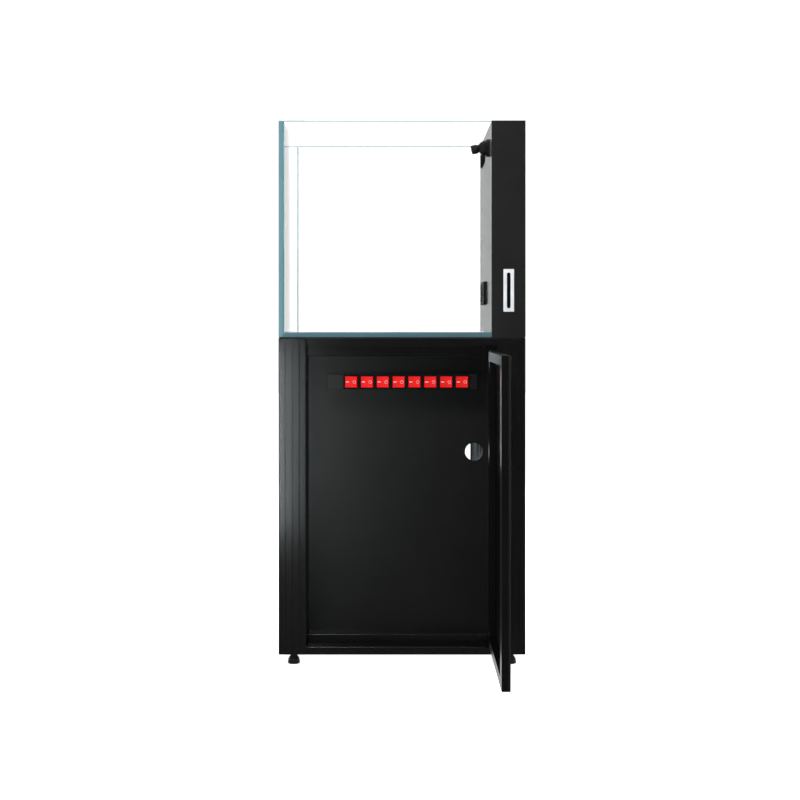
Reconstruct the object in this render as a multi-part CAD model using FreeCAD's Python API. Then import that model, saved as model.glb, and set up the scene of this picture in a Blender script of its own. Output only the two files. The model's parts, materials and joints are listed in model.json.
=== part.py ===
"""Rimless aquarium with a side overflow, on a black cabinet with levelling feet.

Millimetres. X runs to the right along the front, Y runs back from the front, Z is up.
The origin is the middle of the footprint, on the floor. The front door is shown open by
90 degrees, and the side door is shown closed.
"""
import FreeCAD
import Part
import math
import os

V = FreeCAD.Vector

# ---------------------------------------------------------------- driving sizes
WIDTH = 600.0
DEPTH = 530.0
FOOT_H = 28.0
FRAME_H = 768.0
MAT_T = 3.0
TANK_H = 526.0

# corner posts and rails of the cabinet
POST_W = 68.0
POST_D = 91.0
POST_WALL = 4.0
GROOVE_W = 1.4
GROOVE_D = 1.0
FRONT_BANDS = 4
SIDE_BANDS = 5
EDGE_R = 2.5
RAIL_H = 19.0
RAIL_D = 40.0
SIDE_RAIL_D = 16.0
RAIL_WALL = 2.5
INNER_RAIL_LOW_TOP = 69.6
INNER_RAIL_HIGH_BOTTOM = 751.0
FLOOR_T = 12.0
PANEL_T = 8.0
REAR_PANEL_SET = 5.0
PARTITION_LEFT = -276.0

# cable hole through the partition and hose window in the rear panel
PORT_X = 179.0
PORT_Z = 513.0
PORT_R = 22.0
WINDOW_X = (91.0, 191.0)
WINDOW_Z = (400.0, 560.0)

# magnets that hold the doors shut
MAGNET_R = 5.0
MAGNET_GAP = 0.1
MAGNET_HEIGHTS = (120.0, 700.0)
MAGNET_IN = 10.0

# tank glass
SIDE_GLASS = 12.0
BASE_GLASS = 10.0
WEIR_GLASS = 6.0
WEIR_X = 218.0
COVER_T = 2.0
SEAM = 4.0

# level window plate on the overflow cover
PLATE_X = 259.0
PLATE_W = 25.7
PLATE_H = 103.5
PLATE_Z = 912.5
PLATE_T = 1.5
SLOT_W = 8.7
SLOT_L = 87.0

# comb of skimming slots near the top of the weir
SKIM_SLOTS = 20
SKIM_PITCH = 11.0
SKIM_Y = -10.0
SKIM_Z = 1262.0
SKIM_W = 3.5
SKIM_L = 38.0

# intake grille low on the weir
GRILLE_Y = (-5.0, 163.0)
GRILLE_Z = (883.0, 943.0)
GRILLE_T = 5.5
GRILLE_R = 8.0
LOUVRES = 6
LOUVRE_H = 3.0
LOUVRE_PITCH = 7.5

# return fitting on the weir
RETURN_Y = -160.0
RETURN_Z = 1270.0
FLANGE_R = 22.0
FLANGE_T = 9.0
RETURN_BORE = 9.0
RETURN_HOLE = 13.0
THREAD_R = 12.9
BULKHEAD_END_X = 246.0
SOCKET_R = 19.0
SOCKET_FACE_X = 193.0
BALL_X = 196.0
BALL_R = 10.5
BALL_GAP = 0.05
NOZZLE_DROP = 13.0
NOZZLE_NECK_S = 5.5
NOZZLE_NECK_R = 8.9
NOZZLE_BASE_S = 8.0
NOZZLE_TIP_S = 23.0
NOZZLE_BASE_R = 13.5
NOZZLE_TIP_R = 11.0
JET_BORE = 6.0
DOWN_JET_X = (195.6, 207.6)
DOWN_JET_HALF_Y = 8.0
DOWN_JET_TIP_Z = 1220.0

# pipes
PIPE_R = 8.0
PIPE_BORE = 6.0
RISER_X = 265.0
RISER_Y = 90.0
DRAIN_X = 252.0
DRAIN_Y = 140.0
DRAIN_R = 12.4
DRAIN_BORE = 10.4
DRAIN_OFFSET_X = 221.0
DRAIN_STEP_Z = 620.0
DRAIN_END_Z = 250.0
DRAIN_HOLE = 16.0
RISER_HOLE = 11.0
SLEEVE_R = 15.8
SLEEVE_BORE = 12.6
RISER_SLEEVE_R = 10.8
RISER_SLEEVE_BORE = 8.2
SLEEVE_LOW = 768.0
DRAIN_NUT_CLEAR = 30.0
RETURN_NUT_CLEAR = 20.0
STANDPIPE_TOP = 1240.0
PUMP_X = 196.5
WYE_Z = 465.0
MANIFOLD_TOP = 640.0

# sump in the rear compartment
SUMP_X = (-250.0, 245.0)
SUMP_Y = (-150.0, 165.0)
SUMP_H = 300.0
SUMP_WALL = 6.0
PUMP_TOP = 165.0

# doors
DOOR_T = 19.5
SKIN_T = 5.0
DOOR_LOW = 53.0
DOOR_HIGH = 763.6
DOOR_GAP = 3.0
STILE_W = 45.0
DOOR_RAIL_W = 22.0
DOOR_OPEN = 90.0
PIVOT_R = 1.8
PIVOT_GAP = 0.06
LUG_R = 2.6
TOP_PLATE_T = 3.0
LOW_PLATE_T = 2.5

# switch bar
BAR_X = (-185.0, 185.0)
BAR_Z = (670.0, 707.0)
BAR_BACK_TOP = 712.0
BAR_FACE_Y = -220.0
BAR_WALL = 2.5
BAR_MIDDLE_X = (-144.5, 168.5)
ROCKERS = 8
ROCKER_X0 = -124.4
ROCKER_PITCH = 38.93
ROCKER_R = 15.8
ROCKER_H = 27.0
ROCKER_GAP = 0.4
ROCKER_FACE = 5.0
ROCKER_TILT = 14.0
BEZEL_T = 1.5
BEZEL_W = 38.3
BEZEL_H = 35.0

# levelling feet
FOOT_IN = 35.0
FOOT_R = 15.0
STEM_R = 6.0
STEM_TOP = 70.0
SOCKET_H = 20.0
SOCKET_BORE = 6.06

# ---------------------------------------------------------------- derived planes
LEFT = -WIDTH / 2
RIGHT = WIDTH / 2
FRONT = -DEPTH / 2
BACK = DEPTH / 2
CAB_LOW = FOOT_H
CAB_HIGH = FOOT_H + FRAME_H
TANK_LOW = CAB_HIGH + MAT_T
TANK_HIGH = TANK_LOW + TANK_H
RAIL_LOW_TOP = CAB_LOW + RAIL_H
RAIL_HIGH_BOTTOM = CAB_HIGH - RAIL_H
POST_IN_X = RIGHT - POST_W
POST_IN_Y = BACK - POST_D
GLASS_FRONT = FRONT + COVER_T
GLASS_BACK = BACK - COVER_T
GLASS_RIGHT = RIGHT - COVER_T
BASE_TOP = TANK_LOW + BASE_GLASS
INSIDE_FRONT = GLASS_FRONT + SIDE_GLASS
INSIDE_BACK = GLASS_BACK - SIDE_GLASS
INSIDE_LEFT = LEFT + SIDE_GLASS
INSIDE_RIGHT = GLASS_RIGHT - SIDE_GLASS
WEIR_BACK_X = WEIR_X + WEIR_GLASS
MAGNET_FRONT_Y = FRONT + MAGNET_IN
MAGNET_SIDE_X = LEFT + MAGNET_IN
BAR_MID_Z = (BAR_Z[0] + BAR_Z[1]) / 2
PIVOT_Y = BAR_FACE_Y - BEZEL_T - 1.0 + ROCKER_FACE
FRONT_DOOR_W = 2 * (POST_IN_X - DOOR_GAP)
SIDE_DOOR_W = 2 * (POST_IN_Y - DOOR_GAP)


# ---------------------------------------------------------------- helpers
def block(x0, x1, y0, y1, z0, z1):
    """A box between two corners."""
    return Part.makeBox(x1 - x0, y1 - y0, z1 - z0, V(x0, y0, z0))


def rod(radius, start, direction, length):
    """A cylinder from a start point along a direction."""
    return Part.makeCylinder(radius, length, V(*start), V(*direction))


def join(first, *others):
    """One solid out of touching or overlapping ones."""
    return first.fuse(list(others)).removeSplitter()


def rounded(shape, radius, wanted):
    """Round the edges whose middle point passes the test."""
    edges = [e for e in shape.Edges if wanted(e.CenterOfMass)]
    return shape.makeFillet(radius, edges)


def near(value, target):
    """True when two lengths agree within a twentieth of a millimetre."""
    return abs(value - target) < 0.05


def plate_with_round_corners(x0, x1, y0, y1, z0, z1, radius, normal):
    """A box with the four edges along its normal rounded."""
    low = (x0, y0, z0)
    high = (x1, y1, z1)
    across = [i for i in range(3) if i != "XYZ".index(normal)]

    def corner(point):
        p = (point.x, point.y, point.z)
        return all(near(p[i], low[i]) or near(p[i], high[i]) for i in across)

    return rounded(block(x0, x1, y0, y1, z0, z1), radius, corner)


def hollow_bar(x0, x1, y0, y1, z0, z1, along):
    """A box section with open ends, its length along X or Y."""
    w = RAIL_WALL
    if along == "X":
        core = block(x0 - 1, x1 + 1, y0 + w, y1 - w, z0 + w, z1 - w)
    else:
        core = block(x0 + w, x1 - w, y0 - 1, y1 + 1, z0 + w, z1 - w)
    return block(x0, x1, y0, y1, z0, z1).cut(core)


def pipe_path(points, bend):
    """Straight runs joined by tangent arcs of one radius."""
    corners = [V(*p) for p in points]
    edges = []
    here = corners[0]
    for before, corner, after in zip(corners, corners[1:], corners[2:]):
        inward = (before - corner).normalize()
        outward = (after - corner).normalize()
        half = inward.getAngle(outward) / 2
        cut_back = bend / math.tan(half)
        start = corner + inward * cut_back
        end = corner + outward * cut_back
        centre = corner + (inward + outward).normalize() * (bend / math.sin(half))
        middle = centre + (corner - centre).normalize() * bend
        if (start - here).Length > 0.01:
            edges.append(Part.LineSegment(here, start).toShape())
        edges.append(Part.Arc(start, middle, end).toShape())
        here = end
    edges.append(Part.LineSegment(here, corners[-1]).toShape())
    return Part.Wire(edges)


def swept(points, bend, radius):
    """A round bar that follows the path."""
    path = pipe_path(points, bend)
    start = V(*points[0])
    direction = V(*points[1]) - start
    ring = Part.Wire(Part.makeCircle(radius, start, direction))
    return path.makePipeShell([ring], True, False)


def hollow_pipe(points, bend, radius, bore):
    """A bent tube with open ends."""
    return swept(points, bend, radius).cut(swept(points, bend, bore))


def group(shapes):
    """Separate solids that share one node."""
    return Part.Compound(shapes)


# ---------------------------------------------------------------- cabinet frame
def front_left_post():
    """Hollow corner profile with V grooves down its two outer faces."""
    outline = [V(LEFT, FRONT, CAB_LOW)]
    for i in range(1, FRONT_BANDS):
        x = LEFT + POST_W * i / FRONT_BANDS
        outline.append(V(x - GROOVE_W / 2, FRONT, CAB_LOW))
        outline.append(V(x, FRONT + GROOVE_D, CAB_LOW))
        outline.append(V(x + GROOVE_W / 2, FRONT, CAB_LOW))
    outline.append(V(-POST_IN_X, FRONT, CAB_LOW))
    outline.append(V(-POST_IN_X, -POST_IN_Y, CAB_LOW))
    outline.append(V(LEFT, -POST_IN_Y, CAB_LOW))
    for i in range(SIDE_BANDS - 1, 0, -1):
        y = FRONT + POST_D * i / SIDE_BANDS
        outline.append(V(LEFT, y + GROOVE_W / 2, CAB_LOW))
        outline.append(V(LEFT + GROOVE_D, y, CAB_LOW))
        outline.append(V(LEFT, y - GROOVE_W / 2, CAB_LOW))
    outline.append(outline[0])
    post = Part.Face(Part.makePolygon(outline)).extrude(V(0, 0, FRAME_H))

    def corner(point):
        on_x = near(point.x, LEFT) or near(point.x, -POST_IN_X)
        on_y = near(point.y, FRONT) or near(point.y, -POST_IN_Y)
        return on_x and on_y

    post = rounded(post, EDGE_R, corner)
    core = block(LEFT + POST_WALL, -POST_IN_X - POST_WALL, FRONT + POST_WALL,
                 -POST_IN_Y - POST_WALL, CAB_LOW - 1, CAB_HIGH + 1)
    return post.cut(core)


def mirrored(shape, normal):
    """The shape on the other side of the middle plane with this normal."""
    return shape.mirror(V(0, 0, 0), V(*normal))


def magnet_discs(radius):
    """Discs let into the latch post, two for each door."""
    discs = []
    for z in MAGNET_HEIGHTS:
        discs.append(rod(radius, (-POST_IN_X, MAGNET_FRONT_Y, z), (-1, 0, 0), POST_WALL))
        discs.append(rod(radius, (MAGNET_SIDE_X, -POST_IN_Y, z), (0, -1, 0), POST_WALL))
    return discs


def latch_magnets():
    return group(magnet_discs(MAGNET_R - MAGNET_GAP))


def front_rails():
    """Box sections above and below the front door, rounded at the door side."""
    y1 = FRONT + RAIL_D
    low = hollow_bar(-POST_IN_X, POST_IN_X, FRONT, y1, CAB_LOW, RAIL_LOW_TOP, "X")
    high = hollow_bar(-POST_IN_X, POST_IN_X, FRONT, y1, RAIL_HIGH_BOTTOM, CAB_HIGH, "X")
    low = rounded(low, 2.0, lambda p: near(p.y, FRONT) and near(p.z, RAIL_LOW_TOP))
    high = rounded(high, 2.0, lambda p: near(p.y, FRONT) and near(p.z, RAIL_HIGH_BOTTOM))
    return group([low, high])


def inner_rails():
    """Deeper box sections behind the front rails, which carry the partition."""
    y0 = FRONT + RAIL_D
    y1 = -POST_IN_Y
    low = hollow_bar(-POST_IN_X, POST_IN_X, y0, y1, CAB_LOW, INNER_RAIL_LOW_TOP, "X")
    high = hollow_bar(-POST_IN_X, POST_IN_X, y0, y1, INNER_RAIL_HIGH_BOTTOM, CAB_HIGH, "X")
    low = rounded(low, 2.0, lambda p: near(p.y, y0) and near(p.z, INNER_RAIL_LOW_TOP))
    high = rounded(high, 2.0, lambda p: near(p.y, y0) and near(p.z, INNER_RAIL_HIGH_BOTTOM))
    return group([low, high])


def rail_levels():
    return ((CAB_LOW, RAIL_LOW_TOP), (RAIL_HIGH_BOTTOM, CAB_HIGH))


def rear_rails():
    y0 = BACK - RAIL_D
    return group([hollow_bar(-POST_IN_X, POST_IN_X, y0, BACK, z0, z1, "X")
                  for z0, z1 in rail_levels()])


def side_rails():
    bars = []
    for z0, z1 in rail_levels():
        for x0 in (LEFT, RIGHT - SIDE_RAIL_D):
            bars.append(hollow_bar(x0, x0 + SIDE_RAIL_D, -POST_IN_Y, POST_IN_Y, z0, z1, "Y"))
    return group(bars)


def deck_outline(z0, z1):
    """A board between the rails, notched for the rear posts."""
    board = block(LEFT + SIDE_RAIL_D, RIGHT - SIDE_RAIL_D, -POST_IN_Y, BACK - RAIL_D, z0, z1)
    for side in (-1, 1):
        x0 = min(side * POST_IN_X, side * RIGHT)
        x1 = max(side * POST_IN_X, side * RIGHT)
        board = board.cut(block(x0, x1, POST_IN_Y, BACK, z0 - 1, z1 + 1))
    return board


def top_deck():
    """Board under the tank, cut away from the right edge round the pipe fittings."""
    z0 = RAIL_HIGH_BOTTOM - 1
    z1 = CAB_HIGH + 1
    centre_x = DRAIN_X - 24
    deck = deck_outline(RAIL_HIGH_BOTTOM, CAB_HIGH)
    deck = deck.cut(rod(DRAIN_NUT_CLEAR, (centre_x, DRAIN_Y, z0), (0, 0, 1), z1 - z0))
    deck = deck.cut(block(centre_x, RIGHT, DRAIN_Y - DRAIN_NUT_CLEAR, DRAIN_Y + DRAIN_NUT_CLEAR, z0, z1))
    return deck.cut(block(DRAIN_X - 12, RIGHT, RISER_Y - RETURN_NUT_CLEAR, DRAIN_Y, z0, z1))


def floor_panel():
    return deck_outline(RAIL_LOW_TOP - FLOOR_T, RAIL_LOW_TOP)


def partition_panel():
    """Upright panel behind the front compartment, with a round cable hole."""
    panel = block(PARTITION_LEFT, RIGHT - 10, -POST_IN_Y, -POST_IN_Y + PANEL_T,
                  RAIL_LOW_TOP, RAIL_HIGH_BOTTOM)
    hole = rod(PORT_R, (PORT_X, -POST_IN_Y - 5, PORT_Z), (0, 1, 0), PANEL_T + 10)
    return panel.cut(hole)


def right_panel():
    x1 = RIGHT - 2.0
    return block(x1 - PANEL_T, x1, -POST_IN_Y, POST_IN_Y, RAIL_LOW_TOP, RAIL_HIGH_BOTTOM)


def rear_panel():
    """Back panel with a window for hoses and leads."""
    y1 = BACK - REAR_PANEL_SET
    y0 = y1 - PANEL_T
    panel = block(-POST_IN_X, POST_IN_X, y0, y1, RAIL_LOW_TOP, RAIL_HIGH_BOTTOM)
    window = plate_with_round_corners(WINDOW_X[0], WINDOW_X[1], y0 - 1, y1 + 1,
                                      WINDOW_Z[0], WINDOW_Z[1], 6.0, "Y")
    return panel.cut(window)


def tank_mat():
    """Foam mat under the tank, cut out round the pipe fittings."""
    mat = block(LEFT + 1, RIGHT - 1, FRONT + 1, BACK - 1, CAB_HIGH, TANK_LOW)
    cut_out = block(DRAIN_X - DRAIN_NUT_CLEAR, RIGHT - 14, RISER_Y - RETURN_NUT_CLEAR,
                    DRAIN_Y + DRAIN_NUT_CLEAR, CAB_HIGH - 1, TANK_LOW + 1)
    return mat.cut(cut_out)


# ---------------------------------------------------------------- tank
def left_pane():
    return block(LEFT, INSIDE_LEFT, GLASS_FRONT, GLASS_BACK, TANK_LOW, TANK_HIGH)


def right_pane():
    return block(INSIDE_RIGHT, GLASS_RIGHT, GLASS_FRONT, GLASS_BACK, TANK_LOW, TANK_HIGH)


def front_pane():
    return block(INSIDE_LEFT, INSIDE_RIGHT, GLASS_FRONT, INSIDE_FRONT, BASE_TOP, TANK_HIGH)


def back_pane():
    return block(INSIDE_LEFT, INSIDE_RIGHT, INSIDE_BACK, GLASS_BACK, BASE_TOP, TANK_HIGH)


def bottom_pane():
    pane = block(INSIDE_LEFT, INSIDE_RIGHT, GLASS_FRONT, GLASS_BACK, TANK_LOW, BASE_TOP)
    pane = pane.cut(rod(DRAIN_HOLE, (DRAIN_X, DRAIN_Y, TANK_LOW - 1), (0, 0, 1), BASE_GLASS + 2))
    return pane.cut(rod(RISER_HOLE, (RISER_X, RISER_Y, TANK_LOW - 1), (0, 0, 1), BASE_GLASS + 2))


def slot_cutter(x0, x1, y, z, width, length):
    """An upright slot with round ends, cut along X."""
    straight = length - width
    low = rod(width / 2, (x0, y, z + width / 2), (1, 0, 0), x1 - x0)
    high = rod(width / 2, (x0, y, z + width / 2 + straight), (1, 0, 0), x1 - x0)
    middle = block(x0, x1, y - width / 2, y + width / 2, z + width / 2,
                   z + width / 2 + straight)
    return join(low, high, middle)


def weir_wall():
    """Black glass wall of the overflow, with skimming slots, intake and return hole."""
    x0 = WEIR_X - 1
    x1 = WEIR_BACK_X + 1
    wall = block(WEIR_X, WEIR_BACK_X, INSIDE_FRONT, INSIDE_BACK, BASE_TOP, TANK_HIGH)
    cutters = [rod(RETURN_HOLE, (x0, RETURN_Y, RETURN_Z), (1, 0, 0), x1 - x0)]
    cutters.append(block(x0, x1, GRILLE_Y[0] + 10, GRILLE_Y[1] - 10,
                         GRILLE_Z[0] + 8, GRILLE_Z[1] - 8))
    for i in range(SKIM_SLOTS):
        cutters.append(slot_cutter(x0, x1, SKIM_Y + i * SKIM_PITCH, SKIM_Z, SKIM_W, SKIM_L))
    return wall.cut(cutters)


def seam(corner, side_a, side_b, direction, length):
    """A three-sided bead of silicone in an inside corner."""
    a = V(*corner)
    b = a + V(*side_a) * SEAM
    c = a + V(*side_b) * SEAM
    face = Part.Face(Part.makePolygon([a, b, c, a]))
    return face.extrude(V(*direction) * length)


def silicone_seams():
    """Beads round the inside of the display part of the tank."""
    x_run = WEIR_X - INSIDE_LEFT
    y_run = INSIDE_BACK - INSIDE_FRONT - 2 * SEAM
    z_run = TANK_HIGH - BASE_TOP - SEAM
    z0 = BASE_TOP + SEAM
    beads = [
        seam((INSIDE_LEFT, INSIDE_FRONT, BASE_TOP), (0, 1, 0), (0, 0, 1), (1, 0, 0), x_run),
        seam((INSIDE_LEFT, INSIDE_BACK, BASE_TOP), (0, -1, 0), (0, 0, 1), (1, 0, 0), x_run),
        seam((INSIDE_LEFT, INSIDE_FRONT + SEAM, BASE_TOP), (1, 0, 0), (0, 0, 1), (0, 1, 0), y_run),
        seam((WEIR_X, INSIDE_FRONT + SEAM, BASE_TOP), (-1, 0, 0), (0, 0, 1), (0, 1, 0), y_run),
    ]
    for x, out in ((INSIDE_LEFT, 1), (WEIR_X, -1)):
        beads.append(seam((x, INSIDE_FRONT, z0), (out, 0, 0), (0, 1, 0), (0, 0, 1), z_run))
        beads.append(seam((x, INSIDE_BACK, z0), (out, 0, 0), (0, -1, 0), (0, 0, 1), z_run))
    return group(beads)


def overflow_cover():
    """Folded black sheet round the overflow end: front, side and back."""
    cover = block(WEIR_X, RIGHT, FRONT, BACK, TANK_LOW, TANK_HIGH)
    cover = cover.cut(block(WEIR_X - 1, GLASS_RIGHT, GLASS_FRONT, GLASS_BACK,
                            TANK_LOW - 1, TANK_HIGH + 1))
    cover = rounded(cover, 1.0, lambda p: near(p.x, RIGHT) and near(abs(p.y), BACK))
    return cover.cut(level_slot())


def level_slot():
    """Cutter for the upright slot of the level window."""
    y0 = FRONT - 5
    length = COVER_T + 5
    straight = SLOT_L - SLOT_W
    z0 = PLATE_Z - straight / 2
    z1 = PLATE_Z + straight / 2
    low = rod(SLOT_W / 2, (PLATE_X, y0, z0), (0, 1, 0), length)
    high = rod(SLOT_W / 2, (PLATE_X, y0, z1), (0, 1, 0), length)
    middle = block(PLATE_X - SLOT_W / 2, PLATE_X + SLOT_W / 2, y0, y0 + length, z0, z1)
    return join(low, high, middle)


def level_plate():
    """Bright metal plate that frames the level slot."""
    plate = plate_with_round_corners(PLATE_X - PLATE_W / 2, PLATE_X + PLATE_W / 2,
                                     FRONT - PLATE_T, FRONT,
                                     PLATE_Z - PLATE_H / 2, PLATE_Z + PLATE_H / 2, 1.0, "Y")
    return plate.cut(level_slot())


def intake_grille():
    """Moulded grille over the low intake, with level louvre slots."""
    x0 = WEIR_X - GRILLE_T
    body = plate_with_round_corners(x0, WEIR_X, GRILLE_Y[0], GRILLE_Y[1],
                                    GRILLE_Z[0], GRILLE_Z[1], GRILLE_R, "X")
    body = rounded(body, 1.5, lambda p: near(p.x, x0))
    z_first = (GRILLE_Z[0] + GRILLE_Z[1]) / 2 - LOUVRE_PITCH * (LOUVRES - 1) / 2
    for i in range(LOUVRES):
        z = z_first + i * LOUVRE_PITCH
        body = body.cut(block(x0 - 1, WEIR_X + 1, GRILLE_Y[0] + 14, GRILLE_Y[1] - 14,
                              z - LOUVRE_H / 2, z + LOUVRE_H / 2))
    return body


# ---------------------------------------------------------------- return fitting
def return_bulkhead():
    """Flanged sleeve through the weir, chamfered at its rim."""
    face_x = WEIR_X - FLANGE_T
    flange = rod(FLANGE_R, (face_x, RETURN_Y, RETURN_Z), (1, 0, 0), FLANGE_T)
    rim = [e for e in flange.Edges if near(e.CenterOfMass.x, face_x) and near(e.CenterOfMass.z, RETURN_Z)]
    flange = flange.makeChamfer(2.5, rim)
    sleeve = rod(THREAD_R, (WEIR_X - 1, RETURN_Y, RETURN_Z), (1, 0, 0), BULKHEAD_END_X - WEIR_X + 1)
    bore = rod(RETURN_BORE, (face_x - 1, RETURN_Y, RETURN_Z), (1, 0, 0), BULKHEAD_END_X - face_x + 2)
    return join(flange, sleeve).cut(bore)


def hex_nut(across, centre, direction, thickness, bore):
    """A hexagonal nut that starts at its centre point and runs along an axis."""
    radius = across / 2 / math.cos(math.radians(30))
    start = V(*centre)
    axis = V(*direction)
    first = V(0, 0, 1).cross(axis)
    if first.Length < 0.5:
        first = V(1, 0, 0)
    second = axis.cross(first)
    points = []
    for i in range(7):
        angle = math.radians(60 * i)
        along = first * (radius * math.cos(angle))
        points.append(start + along + second * (radius * math.sin(angle)))
    body = Part.Face(Part.makePolygon(points)).extrude(axis * thickness)
    return body.cut(Part.makeCylinder(bore, thickness + 2, start - axis, axis))


def bulkhead_nuts():
    """Nuts of the return fitting and of the two fittings in the tank base."""
    return group([
        hex_nut(38.0, (WEIR_BACK_X, RETURN_Y, RETURN_Z), (1, 0, 0), 8.0, THREAD_R),
        hex_nut(44.0, (DRAIN_X, DRAIN_Y, TANK_LOW), (0, 0, -1), 10.0, SLEEVE_R),
        hex_nut(30.0, (RISER_X, RISER_Y, TANK_LOW), (0, 0, -1), 10.0, RISER_SLEEVE_R),
    ])


def floor_bulkheads():
    """Flanged sleeves through the tank base, for the drain and for the return."""
    fittings = []
    for x, y, flange, sleeve, bore in (
        (DRAIN_X, DRAIN_Y, 24.0, SLEEVE_R, SLEEVE_BORE),
        (RISER_X, RISER_Y, 16.0, RISER_SLEEVE_R, RISER_SLEEVE_BORE),
    ):
        top = rod(flange, (x, y, BASE_TOP), (0, 0, 1), 7.0)
        tube = rod(sleeve, (x, y, SLEEVE_LOW), (0, 0, 1), BASE_TOP + 7.0 - SLEEVE_LOW)
        hole = rod(bore, (x, y, SLEEVE_LOW - 1), (0, 0, 1), 100)
        fittings.append(join(top, tube).cut(hole))
    return group(fittings)


def return_socket():
    """Swivelling ball socket whose stem turns in the bulkhead."""
    end_x = WEIR_X - FLANGE_T - 0.3
    head = rod(SOCKET_R, (SOCKET_FACE_X, RETURN_Y, RETURN_Z), (1, 0, 0), end_x - SOCKET_FACE_X)
    head = rounded(head, 1.5, lambda p: near(p.x, SOCKET_FACE_X) and near(p.z, RETURN_Z))
    stem = rod(RETURN_BORE - 0.07, (end_x - 1, RETURN_Y, RETURN_Z), (1, 0, 0), 236 - end_x + 1)
    ball = Part.makeSphere(BALL_R + BALL_GAP, V(BALL_X, RETURN_Y, RETURN_Z))
    bore = rod(JET_BORE, (BALL_X, RETURN_Y, RETURN_Z), (1, 0, 0), 60)
    return join(head, stem).cut(ball).cut(bore)


def return_nozzle():
    """Ball with a tapered jet, pointing away from the weir and a little down."""
    drop = math.radians(NOZZLE_DROP)
    aim = V(-math.cos(drop), 0, -math.sin(drop))
    centre = V(BALL_X, RETURN_Y, RETURN_Z)
    ball = Part.makeSphere(BALL_R, centre)
    shoulder = Part.makeCone(NOZZLE_NECK_R, NOZZLE_BASE_R, NOZZLE_BASE_S - NOZZLE_NECK_S,
                             centre + aim * NOZZLE_NECK_S, aim)
    jet = Part.makeCone(NOZZLE_BASE_R, NOZZLE_TIP_R, NOZZLE_TIP_S - NOZZLE_BASE_S,
                        centre + aim * NOZZLE_BASE_S, aim)
    bore = Part.makeCylinder(JET_BORE, NOZZLE_TIP_S + 20, centre - aim * 19, aim)
    return join(ball, shoulder, jet).cut(bore)


def down_jet():
    """Flat jet that hangs from the socket and narrows to its tip."""
    x0, x1 = DOWN_JET_X
    top = RETURN_Z - SOCKET_R + 4
    shoulder = DOWN_JET_TIP_Z + 15
    outline = [V(x0, RETURN_Y - DOWN_JET_HALF_Y, top), V(x1, RETURN_Y - DOWN_JET_HALF_Y, top),
               V(x1, RETURN_Y - DOWN_JET_HALF_Y, shoulder),
               V(x0 + 5, RETURN_Y - DOWN_JET_HALF_Y, DOWN_JET_TIP_Z),
               V(x0, RETURN_Y - DOWN_JET_HALF_Y, DOWN_JET_TIP_Z + 1)]
    outline.append(outline[0])
    body = Part.Face(Part.makePolygon(outline)).extrude(V(0, 2 * DOWN_JET_HALF_Y, 0))
    return body.cut(rod(SOCKET_R, (x0 - 5, RETURN_Y, RETURN_Z), (1, 0, 0), 30))


def return_riser():
    """Pipe from the tank base up the overflow and across to the return fitting."""
    points = [(BULKHEAD_END_X, RETURN_Y, RETURN_Z), (RISER_X, RETURN_Y, RETURN_Z),
              (RISER_X, RISER_Y, RETURN_Z), (RISER_X, RISER_Y, BASE_TOP - 3)]
    return hollow_pipe(points, 18.0, PIPE_R, PIPE_BORE)


def standpipe():
    """Drain pipe that stands in the overflow, slotted round its top."""
    z0 = BASE_TOP - 5
    height = STANDPIPE_TOP - z0
    pipe = rod(DRAIN_R, (DRAIN_X, DRAIN_Y, z0), (0, 0, 1), height)
    pipe = pipe.cut(rod(DRAIN_BORE, (DRAIN_X, DRAIN_Y, z0 - 1), (0, 0, 1), height + 2))
    slots = 6
    for i in range(slots):
        cutter = block(0, DRAIN_R + 3, -1.5, 1.5, STANDPIPE_TOP - 30, STANDPIPE_TOP + 1)
        cutter.rotate(V(0, 0, 0), V(0, 0, 1), 360 * i / slots)
        cutter.translate(V(DRAIN_X, DRAIN_Y, 0))
        pipe = pipe.cut(cutter)
    return pipe


# ---------------------------------------------------------------- sump
def drain_pipe():
    """Pipe from the drain fitting down into the sump, stepped sideways half way."""
    step = DRAIN_X - DRAIN_OFFSET_X
    points = [(DRAIN_X, DRAIN_Y, BASE_TOP - 7), (DRAIN_X, DRAIN_Y, DRAIN_STEP_Z),
              (DRAIN_OFFSET_X, DRAIN_Y, DRAIN_STEP_Z - step), (DRAIN_OFFSET_X, DRAIN_Y, DRAIN_END_Z)]
    return hollow_pipe(points, 26.0, DRAIN_R, DRAIN_BORE)


def return_pipe():
    """Pump line with a capped manifold stub and a branch up to the tank base."""
    rise = RISER_X - PUMP_X
    branch = [(PUMP_X, RISER_Y, WYE_Z), (RISER_X, RISER_Y, WYE_Z + rise),
              (RISER_X, RISER_Y, BASE_TOP - 5)]
    trunk_length = MANIFOLD_TOP - PUMP_TOP
    outer = join(rod(PIPE_R, (PUMP_X, RISER_Y, PUMP_TOP), (0, 0, 1), trunk_length),
                 swept(branch, 30.0, PIPE_R),
                 rod(11.0, (PUMP_X, RISER_Y, MANIFOLD_TOP - 12), (0, 0, 1), 20))
    outer = outer.cut(rod(PIPE_BORE, (PUMP_X, RISER_Y, PUMP_TOP - 1), (0, 0, 1), trunk_length))
    return outer.cut(swept(branch, 30.0, PIPE_BORE))


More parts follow.
